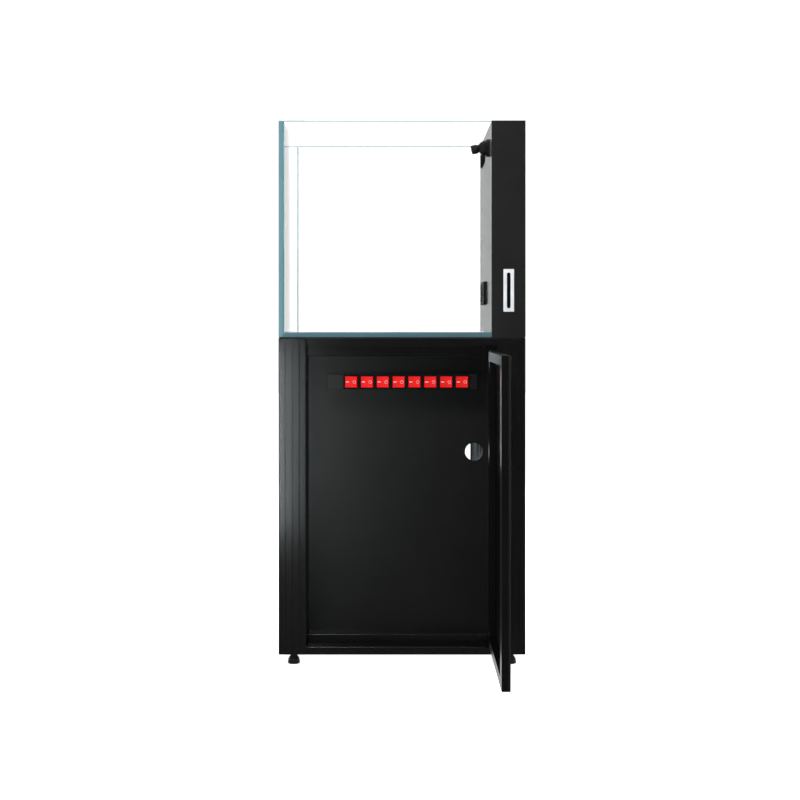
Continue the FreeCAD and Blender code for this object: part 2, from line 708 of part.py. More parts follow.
def sump_tank():
    """Open glass sump: base, four walls and two baffles."""
    x0, x1 = SUMP_X
    y0, y1 = SUMP_Y
    z0 = RAIL_LOW_TOP
    z1 = z0 + SUMP_H
    w = SUMP_WALL
    baffle_top = z1 - 80
    return group([
        block(x0, x1, y0, y1, z0, z0 + w),
        block(x0, x0 + w, y0, y1, z0 + w, z1),
        block(x1 - w, x1, y0, y1, z0 + w, z1),
        block(x0 + w, x1 - w, y0, y0 + w, z0 + w, z1),
        block(x0 + w, x1 - w, y1 - w, y1, z0 + w, z1),
        block(60 - w, 60, y0 + w, y1 - w, z0 + w, baffle_top),
        block(60, x1 - w, 112, 112 + w, z0 + w, baffle_top),
    ])


def return_pump():
    """Submersible pump with a ribbed intake end and an upright outlet."""
    z0 = RAIL_LOW_TOP + SUMP_WALL
    body = plate_with_round_corners(PUMP_X - 36, PUMP_X + 36, RISER_Y - 32, RISER_Y + 18,
                                    z0, PUMP_TOP - 30, 8.0, "Z")
    for i in range(5):
        z = z0 + 16 + i * 9
        body = body.cut(block(PUMP_X - 40, PUMP_X - 33, RISER_Y - 24, RISER_Y + 10, z, z + 3))
    outlet = rod(PIPE_R, (PUMP_X, RISER_Y, PUMP_TOP - 31), (0, 0, 1), 31)
    collar = rod(12.0, (PUMP_X, RISER_Y, PUMP_TOP - 31), (0, 0, 1), 9)
    bore = rod(PIPE_BORE, (PUMP_X, RISER_Y, PUMP_TOP - 45), (0, 0, 1), 60)
    return join(body, collar, outlet).cut(bore)


# ---------------------------------------------------------------- switch bar
def rocker_x(i):
    return ROCKER_X0 + i * ROCKER_PITCH


def rocker_window(x, y0, y1):
    """Cutter for the opening round a rocker."""
    half_w = ROCKER_R + ROCKER_GAP
    half_h = ROCKER_H / 2 + ROCKER_GAP
    return block(x - half_w, x + half_w, y0, y1, BAR_MID_Z - half_h, BAR_MID_Z + half_h)


def switch_housing():
    """Channel on the partition with a window for each rocker switch."""
    x0, x1 = BAR_MIDDLE_X
    shell = block(x0, x1, BAR_FACE_Y, -POST_IN_Y, BAR_Z[0], BAR_Z[1])
    inside = block(x0 - 1, x1 + 1, BAR_FACE_Y + BAR_WALL, -POST_IN_Y - BAR_WALL,
                   BAR_Z[0] + BAR_WALL, BAR_Z[1] - BAR_WALL)
    shell = shell.cut(inside)
    back_lip = block(x0, x1, -POST_IN_Y - BAR_WALL, -POST_IN_Y, BAR_Z[0], BAR_BACK_TOP)
    shell = join(shell, back_lip)
    for i in range(ROCKERS):
        shell = shell.cut(rocker_window(rocker_x(i), BAR_FACE_Y - 1, BAR_FACE_Y + BAR_WALL + 1))
    return shell


def switch_end_caps():
    """Blank blocks that close the two ends of the bar."""
    caps = []
    for x0, x1 in ((BAR_X[0], BAR_MIDDLE_X[0]), (BAR_MIDDLE_X[1], BAR_X[1])):
        cap = block(x0, x1, BAR_FACE_Y, -POST_IN_Y, BAR_Z[0], BAR_Z[1])
        caps.append(rounded(cap, 1.0, lambda p: near(p.y, BAR_FACE_Y)))
    return group(caps)


def switch_bezels():
    """A raised frame round each rocker."""
    frames = []
    half_w = BEZEL_W / 2
    half_h = BEZEL_H / 2
    for i in range(ROCKERS):
        x = rocker_x(i)
        frame = block(x - half_w, x + half_w, BAR_FACE_Y - BEZEL_T, BAR_FACE_Y,
                      BAR_MID_Z - half_h, BAR_MID_Z + half_h)
        frames.append(frame.cut(rocker_window(x, BAR_FACE_Y - BEZEL_T - 1, BAR_FACE_Y + 1)))
    return group(frames)


def rocker(i):
    """Rocker key: round sides about its pivot and two face planes that meet in a valley."""
    x = rocker_x(i)
    z0 = BAR_MID_Z - ROCKER_H / 2
    drum = rod(ROCKER_R, (x, PIVOT_Y, z0), (0, 0, 1), ROCKER_H)
    reach = ROCKER_R + 5
    rise = math.tan(math.radians(ROCKER_TILT)) * reach
    face = PIVOT_Y - ROCKER_FACE
    keep = [V(x - reach, face, z0), V(x, face, z0), V(x + reach, face - rise, z0),
            V(x + reach, PIVOT_Y + 8, z0), V(x - reach, PIVOT_Y + 8, z0)]
    keep.append(keep[0])
    prism = Part.Face(Part.makePolygon(keep)).extrude(V(0, 0, ROCKER_H))
    key = drum.common(prism)
    low = z0
    high = z0 + ROCKER_H
    return rounded(key, 0.8, lambda p: p.y < PIVOT_Y - 2 and (near(p.z, low) or near(p.z, high)))


# ---------------------------------------------------------------- doors
# A door is drawn in its own frame: x runs from the hinge edge to the latch edge,
# y runs from the outer face inwards, and the pivot axis is the z axis.
def door_skin(width):
    return plate_with_round_corners(0, width, 0, SKIN_T, DOOR_LOW, DOOR_HIGH, 1.5, "Z")


def door_frame(width):
    """Two stiles and two rails behind the skin."""
    y0, y1 = SKIN_T, DOOR_T
    return group([
        block(0, STILE_W, y0, y1, DOOR_LOW, DOOR_HIGH),
        block(width - STILE_W, width, y0, y1, DOOR_LOW, DOOR_HIGH),
        block(STILE_W, width - STILE_W, y0, y1, DOOR_LOW, DOOR_LOW + DOOR_RAIL_W),
        block(STILE_W, width - STILE_W, y0, y1, DOOR_HIGH - DOOR_RAIL_W, DOOR_HIGH),
    ])


def pivot_arm(z0, z1, pin_low, pin_high):
    """Strap on the door's end edge with a lug and a pin on the pivot axis."""
    strap = block(2, 34, 2, DOOR_T - 2, z0, z1)
    lug = rod(LUG_R, (0, 0, z0), (0, 0, 1), z1 - z0)
    bridge = block(0, 6, 0, 6, z0, z1)
    pin = rod(PIVOT_R, (0, 0, pin_low), (0, 0, 1), pin_high - pin_low)
    return join(strap, bridge, lug, pin)


def door_pivots():
    return group([
        pivot_arm(DOOR_HIGH, DOOR_HIGH + TOP_PLATE_T, DOOR_HIGH, RAIL_HIGH_BOTTOM - 0.3),
        pivot_arm(DOOR_LOW - LOW_PLATE_T, DOOR_LOW, RAIL_LOW_TOP + 0.3, DOOR_LOW),
    ])


def fixed_plates():
    """Plates on the rails that take the pivot pins."""
    plates = []
    for z0, z1 in ((RAIL_HIGH_BOTTOM - TOP_PLATE_T, RAIL_HIGH_BOTTOM),
                   (RAIL_LOW_TOP, RAIL_LOW_TOP + LOW_PLATE_T)):
        plate = block(-DOOR_GAP + 0.1, 30, -3.5, 20, z0, z1)
        plates.append(plate.cut(rod(PIVOT_R + PIVOT_GAP, (0, 0, z0 - 1), (0, 0, 1), z1 - z0 + 2)))
    return plates


def on_front(shape, opened):
    """Place a door piece at the front opening, hinged at its right edge."""
    placed = shape.mirror(V(0, 0, 0), V(1, 0, 0))
    if opened:
        placed.rotate(V(0, 0, 0), V(0, 0, 1), DOOR_OPEN)
    placed.translate(V(POST_IN_X - DOOR_GAP, FRONT, 0))
    return placed


def on_side(shape):
    """Place a door piece, closed, at the left side, hinged at its rear edge."""
    placed = shape.copy()
    placed.rotate(V(0, 0, 0), V(0, 0, 1), -90)
    placed.translate(V(LEFT, POST_IN_Y - DOOR_GAP, 0))
    return placed


def pivot_plates():
    plates = [on_front(p, False) for p in fixed_plates()]
    plates += [on_side(p) for p in fixed_plates()]
    return group(plates)


# ---------------------------------------------------------------- levelling feet
def foot_places():
    return {
        "front_left": (LEFT + FOOT_IN, FRONT + FOOT_IN),
        "front_right": (RIGHT - FOOT_IN, FRONT + FOOT_IN),
        "rear_left": (LEFT + FOOT_IN, BACK - FOOT_IN),
        "rear_right": (RIGHT - FOOT_IN, BACK - FOOT_IN),
    }


def levelling_foot(x, y):
    """Flared pad and bell turned about the stem."""
    profile = [V(0, 0, 0), V(FOOT_R - 1, 0, 0), V(FOOT_R, 0, 1), V(FOOT_R, 0, 3.5),
               V(FOOT_R - 2.5, 0, 5), V(FOOT_R - 4, 0, 9), V(STEM_R + 2.5, 0, 14),
               V(STEM_R + 0.8, 0, 17), V(STEM_R, 0, 18.5), V(STEM_R, 0, STEM_TOP), V(0, 0, STEM_TOP)]
    profile.append(profile[0])
    foot = Part.Face(Part.makePolygon(profile)).revolve(V(0, 0, 0), V(0, 0, 1), 360)
    foot.translate(V(x, y, 0))
    return foot


def foot_sockets():
    """Threaded blocks in the lower ends of the posts."""
    blocks = []
    for x, y in foot_places().values():
        side = math.copysign(1, x)
        end = math.copysign(1, y)
        x_a = side * (POST_IN_X + POST_WALL)
        x_b = side * (RIGHT - POST_WALL)
        y_a = end * (POST_IN_Y + POST_WALL)
        y_b = end * (BACK - POST_WALL)
        body = block(min(x_a, x_b), max(x_a, x_b), min(y_a, y_b), max(y_a, y_b),
                     CAB_LOW, CAB_LOW + SOCKET_H)
        blocks.append(body.cut(rod(SOCKET_BORE, (x, y, CAB_LOW - 1), (0, 0, 1), SOCKET_H + 2)))
    return group(blocks)


# ---------------------------------------------------------------- all nodes
def all_nodes():
    corner = front_left_post()
    latch_post = corner
    for disc in magnet_discs(MAGNET_R):
        latch_post = latch_post.cut(disc)
    nodes = {
        "post_front_left": latch_post,
        "post_front_right": mirrored(corner, (1, 0, 0)),
        "post_rear_left": mirrored(corner, (0, 1, 0)),
        "post_rear_right": mirrored(mirrored(corner, (1, 0, 0)), (0, 1, 0)),
        "front_rails": front_rails(),
        "inner_rails": inner_rails(),
        "rear_rails": rear_rails(),
        "side_rails": side_rails(),
        "top_deck": top_deck(),
        "floor_panel": floor_panel(),
        "partition_panel": partition_panel(),
        "right_panel": right_panel(),
        "rear_panel": rear_panel(),
        "latch_magnets": latch_magnets(),
        "tank_mat": tank_mat(),
        "bottom_pane": bottom_pane(),
        "front_pane": front_pane(),
        "back_pane": back_pane(),
        "left_pane": left_pane(),
        "right_pane": right_pane(),
        "weir_wall": weir_wall(),
        "silicone_seams": silicone_seams(),
        "overflow_cover": overflow_cover(),
        "level_plate": level_plate(),
        "intake_grille": intake_grille(),
        "return_bulkhead": return_bulkhead(),
        "bulkhead_nuts": bulkhead_nuts(),
        "floor_bulkheads": floor_bulkheads(),
        "return_socket": return_socket(),
        "return_nozzle": return_nozzle(),
        "down_jet": down_jet(),
        "return_riser": return_riser(),
        "standpipe": standpipe(),
        "drain_pipe": drain_pipe(),
        "return_pipe": return_pipe(),
        "sump_tank": sump_tank(),
        "return_pump": return_pump(),
        "switch_housing": switch_housing(),
        "switch_end_caps": switch_end_caps(),
        "switch_bezels": switch_bezels(),
        "front_door_skin": on_front(door_skin(FRONT_DOOR_W), True),
        "front_door_frame": on_front(door_frame(FRONT_DOOR_W), True),
        "front_door_pivots": on_front(door_pivots(), True),
        "side_door_skin": on_side(door_skin(SIDE_DOOR_W)),
        "side_door_frame": on_side(door_frame(SIDE_DOOR_W)),
        "side_door_pivots": on_side(door_pivots()),
        "pivot_plates": pivot_plates(),
        "foot_sockets": foot_sockets(),
    }
    for i in range(ROCKERS):
        nodes["rocker_%d" % (i + 1)] = rocker(i)
    for place, (x, y) in foot_places().items():
        nodes["foot_" + place] = levelling_foot(x, y)
    return nodes


def main():
    os.makedirs("parts", exist_ok=True)
    for name, shape in all_nodes().items():
        shape.exportStep("parts/%s.step" % name)
        box = shape.BoundBox
        print("%-18s solids %2d  valid %s  volume %9.1f cm3  z %7.1f to %7.1f" % (
            name, len(shape.Solids), shape.isValid(), shape.Volume / 1000, box.ZMin, box.ZMax))


main()
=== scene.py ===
import bmesh
import bpy
import json
import math
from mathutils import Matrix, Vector
from mathutils.bvhtree import BVHTree

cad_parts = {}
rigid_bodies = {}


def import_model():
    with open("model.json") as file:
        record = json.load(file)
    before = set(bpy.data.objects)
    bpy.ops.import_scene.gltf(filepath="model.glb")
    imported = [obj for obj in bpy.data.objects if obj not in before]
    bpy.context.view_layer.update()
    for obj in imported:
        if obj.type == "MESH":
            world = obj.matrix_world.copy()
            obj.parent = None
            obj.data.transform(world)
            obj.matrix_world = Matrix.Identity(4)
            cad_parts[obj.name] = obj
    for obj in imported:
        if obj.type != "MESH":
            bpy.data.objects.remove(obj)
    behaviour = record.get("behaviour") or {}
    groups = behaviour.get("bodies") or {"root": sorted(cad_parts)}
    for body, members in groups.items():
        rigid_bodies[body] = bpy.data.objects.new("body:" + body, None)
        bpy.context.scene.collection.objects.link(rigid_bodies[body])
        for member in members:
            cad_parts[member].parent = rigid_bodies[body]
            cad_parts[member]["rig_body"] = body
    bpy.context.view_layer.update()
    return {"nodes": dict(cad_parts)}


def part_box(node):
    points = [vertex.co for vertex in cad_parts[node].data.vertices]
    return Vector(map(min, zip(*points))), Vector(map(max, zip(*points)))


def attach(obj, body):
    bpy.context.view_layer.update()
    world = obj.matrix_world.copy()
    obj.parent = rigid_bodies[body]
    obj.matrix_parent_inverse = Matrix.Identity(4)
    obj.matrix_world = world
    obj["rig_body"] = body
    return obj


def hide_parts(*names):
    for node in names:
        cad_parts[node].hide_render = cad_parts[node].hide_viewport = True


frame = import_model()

scene = bpy.context.scene

# ---------------------------------------------------------------- sizes in metres
EDGE_ROUND = 0.0005
RAIL_ROUND = 0.0028
PANE_CHAMFER = 0.0016
SOFTEN_ABOVE = math.radians(38.0)

# levelling foot: threaded stem above the bell
STEM_START = 0.0268
THREAD_START = 0.0290
THREAD_ROOT = 0.0054
THREAD_CREST = 0.0059
THREAD_PITCH = 0.0015
STEM_TOP_BARE = 0.0025

# return fitting: a ball that tilts in a round seat
BALL_R = 0.0105
SEAT_R = 0.01055
JET_BORE = 0.0060
SOCKET_STEM_R = 0.00893
BALL_FROM_SOCKET_FACE = 0.003
JET_DROP = math.radians(13)

# marks printed on the rockers
MARK_SINK = -0.00012
MARK_LIFT = 0.0003
DASH_START = -0.0131
DASH_STEP = 0.0009
DASH_HALF_HEIGHT = 0.0013
RING_FROM_CENTRE = 0.0072
RING_RADII = (0.0030, 0.0038)

TURN_STEPS = 64

# features per metre of the uneven colour on coated surfaces
PATCH_SCALE = 6.0


# ---------------------------------------------------------------- node helpers
def add(tree, kind, inputs=None, **settings):
    """One node with its settings and its inputs, each a number, a colour or a socket."""
    made = tree.nodes.new(kind)
    for key, value in settings.items():
        setattr(made, key, value)
    for key, value in (inputs or {}).items():
        if isinstance(value, bpy.types.NodeSocket):
            tree.links.new(value, made.inputs[key])
        else:
            made.inputs[key].default_value = value
    return made


def grey(value):
    return (value, value, value, 1.0)


def fresh(name):
    """A new material with its tree, its shader and the place of the shaded point."""
    material = bpy.data.materials.new(name)
    material.use_nodes = True
    tree = material.node_tree
    shader = tree.nodes["Principled BSDF"]
    place = add(tree, "ShaderNodeTexCoord").outputs["Object"]
    return material, tree, shader, place


def noise(tree, place, scale, detail=3.0, stretch=(1, 1, 1)):
    """Noise with a feature size of 1/scale metres, stretched along an axis if asked."""
    if stretch != (1, 1, 1):
        place = add(tree, "ShaderNodeMapping", {"Vector": place, "Scale": stretch}).outputs[0]
    made = add(tree, "ShaderNodeTexNoise", {"Vector": place, "Scale": scale, "Detail": detail})
    return made.outputs["Fac"]


def spread(tree, value, low, high, start=0.3, end=0.7):
    """Noise mapped onto a range of values."""
    made = add(tree, "ShaderNodeMapRange", {
        "Value": value, "From Min": start, "From Max": end, "To Min": low, "To Max": high})
    return made.outputs[0]


def blend_colours(tree, factor, first, second):
    made = tree.nodes.new("ShaderNodeMix")
    made.data_type = "RGBA"
    for socket, value in ((made.inputs[0], factor), (made.inputs[6], first), (made.inputs[7], second)):
        if isinstance(value, bpy.types.NodeSocket):
            tree.links.new(value, socket)
        else:
            socket.default_value = value
    return made.outputs[2]


def bumped(tree, shader, height, strength, distance):
    made = add(tree, "ShaderNodeBump", {"Height": height, "Strength": strength, "Distance": distance})
    tree.links.new(made.outputs[0], shader.inputs["Normal"])


def coated(name, dark, light, rough, peel_scale, peel_depth, specular=0.5, edge_wear_and_highlight=0.0, bend=1.5):
    """Painted, moulded or foamed surface: patchy colour, uneven gloss and a fine skin relief; if
    asked, convex edges are lighter, partly edge wear and partly a painted highlight.
    """
    material, tree, shader, place = fresh(name)
    patches = noise(tree, place, PATCH_SCALE)
    colour = blend_colours(tree, spread(tree, patches, 0.0, 1.0), dark, light)
    # lighter convex edges, found by pointiness: partly edge wear, partly a painted highlight along the
    # edges
    if edge_wear_and_highlight:
        edge = add(tree, "ShaderNodeNewGeometry").outputs["Pointiness"]
        worn_and_highlit_edge_mask = spread(tree, edge, 0.0, edge_wear_and_highlight, 0.53, 0.62)
        worn_and_highlight_colour = tuple(min(1.0, c * 2.5 + 0.01) for c in light[:3]) + (1.0,)
        colour = blend_colours(tree, worn_and_highlit_edge_mask, colour, worn_and_highlight_colour)
    tree.links.new(colour, shader.inputs["Base Color"])
    gloss = noise(tree, place, PATCH_SCALE * 7)
    tree.links.new(spread(tree, gloss, rough * 0.93, rough * 1.07), shader.inputs["Roughness"])
    peel = noise(tree, place, peel_scale, 2.0)
    bumped(tree, shader, peel, 0.6, peel_depth)
    shader.inputs["Specular IOR Level"].default_value = specular
    shader.inputs["IOR"].default_value = bend
    return material


def clear_glass(name, tint, streak, clarity=1.0):
    """Polished float glass, with a faint uneven tint."""
    material, tree, shader, place = fresh(name)
    factor = spread(tree, noise(tree, place, 9.0), 0.0, 1.0)
    colour = blend_colours(tree, factor, tint, streak)
    tree.links.new(colour, shader.inputs["Base Color"])
    shader.inputs["Roughness"].default_value = 0.0
    shader.inputs["IOR"].default_value = 1.5
    shader.inputs["Transmission Weight"].default_value = clarity
    return material


def metal(name, colour, rough, brush=(1, 1, 1), metallic=1.0):
    """Bright metal with fine brush lines along one axis."""
    material, tree, shader, place = fresh(name)
    lines = noise(tree, place, 900.0, 3.0, brush)
    darker = tuple(c * 0.82 for c in colour[:3]) + (1.0,)
    tone = blend_colours(tree, spread(tree, noise(tree, place, 40.0), 0.0, 1.0), darker, colour)
    tree.links.new(tone, shader.inputs["Base Color"])
    tree.links.new(spread(tree, lines, rough - 0.06, rough + 0.08), shader.inputs["Roughness"])
    bumped(tree, shader, lines, 0.25, 0.00002)
    shader.inputs["Metallic"].default_value = metallic
    return material


# each material takes its darkest and lightest colour, its roughness, and the fineness and depth
# of its skin relief
MATERIALS = {
    "frame_black": coated(
        "frame_black", grey(0.0035), grey(0.0045), 0.20, 1400.0, 0.000004, specular=1.0, edge_wear_and_highlight=0.15),
    "panel_black": coated(
        "panel_black", grey(0.0030), grey(0.0040), 0.38, 1800.0, 0.00001, specular=0.85),
    "door_black": coated(
        "door_black", grey(0.0035), grey(0.0045), 0.62, 1400.0, 0.00002, edge_wear_and_highlight=0.25),
    "deck_black": coated("deck_black", grey(0.010), grey(0.014), 0.55, 900.0, 0.00005),
    "foam_black": coated(
        "foam_black", grey(0.014), grey(0.022), 0.85, 700.0, 0.0004, specular=0.2),
    "cover_black": coated(
        "cover_black", grey(0.008), grey(0.010), 0.38, 1500.0, 0.00002, edge_wear_and_highlight=0.25),
    "abs_black": coated(
        "abs_black", grey(0.005), grey(0.007), 0.60, 1100.0, 0.00005, specular=0.08),
    "foot_black": coated(
        "foot_black", grey(0.012), grey(0.018), 0.50, 900.0, 0.00006, edge_wear_and_highlight=0.2),
    "pvc_grey": coated(
        "pvc_grey", (0.19, 0.24, 0.26, 1), (0.23, 0.28, 0.30, 1), 0.40, 500.0, 0.00004),
    "rocker_red": coated(
        "rocker_red", (0.78, 0.006, 0.006, 1), (0.84, 0.008, 0.008, 1), 0.36, 900.0, 0.000006,
        specular=0.15),
    "glass_black": coated(
        "glass_black", grey(0.006), grey(0.008), 0.12, 12.0, 0.00001, bend=1.03),
    "glass_clear": clear_glass(
        "glass_clear", (0.985, 0.998, 0.996, 1), (0.990, 1.0, 0.998, 1)),
    "silicone_clear": coated(
        "silicone_clear", (0.70, 0.74, 0.74, 1), (0.76, 0.79, 0.79, 1), 0.35, 90.0, 0.0002,
        specular=0.2),
    "plate_silver": metal("plate_silver", (0.82, 0.85, 0.88, 1), 0.38, (1, 1, 0.03), 0.1),
    "magnet_steel": metal("magnet_steel", (0.55, 0.56, 0.58, 1), 0.25),
    "pivot_steel": metal("pivot_steel", (0.03, 0.03, 0.03, 1), 0.40, (1, 1, 0.05)),
}
MATERIALS["silicone_clear"].node_tree.nodes["Principled BSDF"].inputs["Alpha"].default_value = 0.05

# finishes of single pieces and faces
SATIN = coated(
    "door_frame_satin", grey(0.0025), grey(0.0035), 0.36, 1400.0, 0.000006, specular=0.3)
SWITCH_BAR = coated(
    "switch_bar", grey(0.0030), grey(0.0040), 0.38, 1500.0, 0.00001, specular=0.85)
LINING = coated("door_lining", grey(0.0030), grey(0.0040), 0.80, 1400.0, 0.00002, bend=1.08)
MARK_WHITE = coated("mark_white", grey(0.50), grey(0.55), 0.50, 900.0, 0.00001, specular=0.2)
GLASS_EDGE = clear_glass(
    "glass_edge", (0.135, 0.262, 0.300, 1), (0.150, 0.282, 0.320, 1), 0.12)
# the bottom pane's edges: a darker copy of the glass-edge colour, painted shade
BASE_EDGE_PAINTED_SHADE = clear_glass(
    "base_edge_painted_shade", (0.082, 0.162, 0.190, 1), (0.092, 0.175, 0.203, 1), 0.12)


def body_of(node):
    return frame["nodes"][node]["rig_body"]


def slot_of(node):
    return frame["nodes"][node].data.materials[0].name.split(".")[0]


def place_piece(piece, body, nodes=()):
    """Link a new piece into the scene, on its body, standing for its CAD nodes."""
    scene.collection.objects.link(piece)
    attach(piece, body)
    if nodes:
        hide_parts(*nodes)
    return piece


def softened(node, width, segments=2):
    """A copy of a CAD node with real rounded edges, which then stands for it."""
    source = frame["nodes"][node]
    form = bmesh.new()
    form.from_mesh(source.data)
    bmesh.ops.remove_doubles(form, verts=form.verts, dist=0.000005)
    bmesh.ops.dissolve_limit(form, angle_limit=math.radians(0.4), verts=form.verts, edges=form.edges)
    mesh = bpy.data.meshes.new(node + "_visual")
    form.to_mesh(mesh)
    form.free()
    if node in DOOR_FRAMES:
        mesh.shade_flat()
    else:
        mesh.shade_smooth()
    piece = bpy.data.objects.new(node + "_visual", mesh)
    bevel = piece.modifiers.new("edges", "BEVEL")
    bevel.width = width
    bevel.segments = segments
    bevel.limit_method = "ANGLE"
    bevel.angle_limit = SOFTEN_ABOVE
    if node not in DOOR_FRAMES:
        piece.modifiers.new("flats", "WEIGHTED_NORMAL").keep_sharp = True
    slot_name = SLOTS[node]
    mesh.materials.clear()
    mesh.materials.append(MATERIALS[slot_name])
    return place_piece(piece, body_of(node), [node])


SLOTS = {node: slot_of(node) for node in frame["nodes"]}

# the axis that each pane is square to: 0 is X, 1 is Y, 2 is Z
PANES = {"left_pane": 0, "right_pane": 0, "front_pane": 1, "back_pane": 1, "bottom_pane": 2}
FEET = ("foot_front_left", "foot_front_right", "foot_rear_left", "foot_rear_right")
ROUNDED = ("front_rails", "inner_rails")
FITTING = ("return_socket", "return_nozzle")
DOOR_FRAMES = ("front_door_frame", "side_door_frame")
ROCKERS = ["rocker_%d" % n for n in range(1, 9)]

for node in sorted(frame["nodes"]):
    if node not in PANES and node not in FEET and node not in FITTING:
        softened(node, RAIL_ROUND if node in ROUNDED else EDGE_ROUND, 4 if node in ROUNDED else 2)

for node in DOOR_FRAMES:
    bpy.data.objects[node + "_visual"].data.materials[0] = SATIN
for node in ("switch_housing", "switch_end_caps"):
    bpy.data.objects[node + "_visual"].data.materials[0] = SWITCH_BAR
for node in DOOR_FRAMES + ("front_door_skin", "side_door_skin"):
    door_mesh = bpy.data.objects[node + "_visual"].data
    door_mesh.materials.append(LINING)
    inwards = -1 if node.startswith("front") else 1
    for face in door_mesh.polygons:
        if face.normal.z > 0.9 or ("skin" in node and face.normal.x * inwards > 0.9):
            face.material_index = 1

for node, axis in PANES.items():
    pane = softened(node, PANE_CHAMFER, 1)
    # the bottom pane's edges take the darker copy of the edge colour, painted shade
    pane.data.materials.append(BASE_EDGE_PAINTED_SHADE if node == "bottom_pane" else GLASS_EDGE)
    for face in pane.data.polygons:
        face.material_index = 0 if abs(face.normal[axis]) > 0.9 else 1
    pane.modifiers["edges"].material = 1
    pane.visible_shadow = False


# ---------------------------------------------------------------- pieces with a shape of their own
def as_object(form, name):
    """Turn a finished mesh into an object."""
    bmesh.ops.recalc_face_normals(form, faces=form.faces)
    mesh = bpy.data.meshes.new(name)
    form.to_mesh(mesh)
    form.free()
    return bpy.data.objects.new(name, mesh)


def turned(name, profile, origin, axis, closed=False):
    """Solid of revolution; the profile gives radius and distance along the axis from the origin.
    An open profile runs from axis to axis, a closed one goes round the section of a hollow part."""
    side = Vector(axis).normalized().to_track_quat("Z", "Y")
    origin = Vector(origin)
    form = bmesh.new()
    rings = []
    for radius, along in profile:
        count = TURN_STEPS if radius else 1
        rings.append([form.verts.new(origin + side @ Vector((
            radius * math.cos(2 * math.pi * step / TURN_STEPS),
            radius * math.sin(2 * math.pi * step / TURN_STEPS), along))) for step in range(count)])
    pairs = list(zip(rings, rings[1:]))
    if closed:
        pairs.append((rings[-1], rings[0]))
    for first, second in pairs:
        for step in range(TURN_STEPS):
            after = (step + 1) % TURN_STEPS
            if len(first) == 1:
                form.faces.new((first[0], second[after], second[step]))
            elif len(second) == 1:
                form.faces.new((first[step], first[after], second[0]))
            else:
                form.faces.new((first[step], first[after], second[after], second[step]))
    piece = as_object(form, name)
    piece.data.set_sharp_from_angle(angle=math.radians(32))
    return piece


def levelling_foot(node):
    """Bell-shaped foot with a round rim and a threaded stem."""
    low_corner, high_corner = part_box(node)
    centre_x = (low_corner[0] + high_corner[0]) / 2
    centre_y = (low_corner[1] + high_corner[1]) / 2
    rim = (high_corner[0] - low_corner[0]) / 2
    floor_z = low_corner[2]
    profile = [(0, 0), (rim - 0.0016, 0), (rim - 0.0006, 0.0006), (rim, 0.0018), (rim, 0.0052),
               (rim - 0.0005, 0.0064), (rim - 0.0009, 0.0070), (rim - 0.0008, 0.0095),
               (rim - 0.0013, 0.0118), (rim - 0.0026, 0.0143), (rim - 0.0042, 0.0166),
               (rim - 0.0060, 0.0188), (rim - 0.0071, 0.0203), (rim - 0.0076, 0.0215),
               (rim - 0.0077, 0.0262), (rim - 0.0083, STEM_START), (THREAD_ROOT, STEM_START)]
    top = high_corner[2] - floor_z
    thread_z = THREAD_START
    while thread_z < top - STEM_TOP_BARE:
        profile += [(THREAD_ROOT, thread_z), (THREAD_CREST, thread_z + 0.0004),
                    (THREAD_CREST, thread_z + 0.0007), (THREAD_ROOT, thread_z + 0.0011)]
        thread_z += THREAD_PITCH
    profile += [(0.0052, thread_z), (0.0045, top), (0, top)]
    piece = turned(node + "_turned", profile, (centre_x, centre_y, floor_z), (0, 0, 1))
    piece.data.materials.append(MATERIALS[SLOTS[node]])
    place_piece(piece, body_of(node), [node])


def return_fitting():
    """Domed ball socket and the straight jet that tilts in it."""
    socket_low, socket_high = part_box("return_socket")
    flange_low, flange_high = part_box("return_bulkhead")
    centre = Vector((socket_low[0] + BALL_FROM_SOCKET_FACE, (flange_low[1] + flange_high[1]) / 2,
                     (flange_low[2] + flange_high[2]) / 2))
    head = (socket_high[2] - socket_low[2]) / 2
    stem_end = socket_high[0] - centre.x
    neck = flange_low[0] - 0.0003 - centre.x
    section = [(0.0101, -0.003), (0.0112, -0.003), (0.0120, -0.0026), (0.0138, -0.0006),
               (0.0158, 0.0022), (0.0176, 0.0056), (head - 0.0003, 0.0086), (head, neck - 0.0006),
               (head - 0.0006, neck), (SOCKET_STEM_R, neck), (SOCKET_STEM_R, stem_end),
               (JET_BORE, stem_end), (JET_BORE, 0.0087)]
    for step in range(1, 8):
        along = 0.0087 - 0.0117 * step / 8
        section.append((math.sqrt(SEAT_R ** 2 - along ** 2), along))
    socket = turned("return_socket_turned", section, centre, (1, 0, 0), True)
    socket.data.materials.append(MATERIALS["abs_black"])
    place_piece(socket, body_of("return_socket"), ["return_socket"])
    aim = Vector((-math.cos(JET_DROP), 0, -math.sin(JET_DROP)))
    section = [(JET_BORE, -0.0084)]
    for step in range(1, 9):
        along = -0.0084 + 0.0139 * step / 8
        section.append((math.sqrt(BALL_R ** 2 - along ** 2), along))
    section += [(0.0094, 0.0068), (0.0110, 0.0082), (0.0115, 0.0094), (0.0111, 0.0222),
                (0.0107, 0.0230), (0.0090, 0.0230), (0.0084, 0.0222), (JET_BORE, 0.0120)]
    jet = turned("return_nozzle_turned", section, centre, aim, True)
    jet.data.materials.append(MATERIALS["abs_black"])
    place_piece(jet, body_of("return_nozzle"), ["return_nozzle"])


def surface_of(node):
    """The faces of a CAD node in the world, ready to be probed."""
    source = frame["nodes"][node]
    corners = [source.matrix_world @ corner.co for corner in source.data.vertices]
    return BVHTree.FromPolygons(corners, [tuple(face.vertices) for face in source.data.polygons])


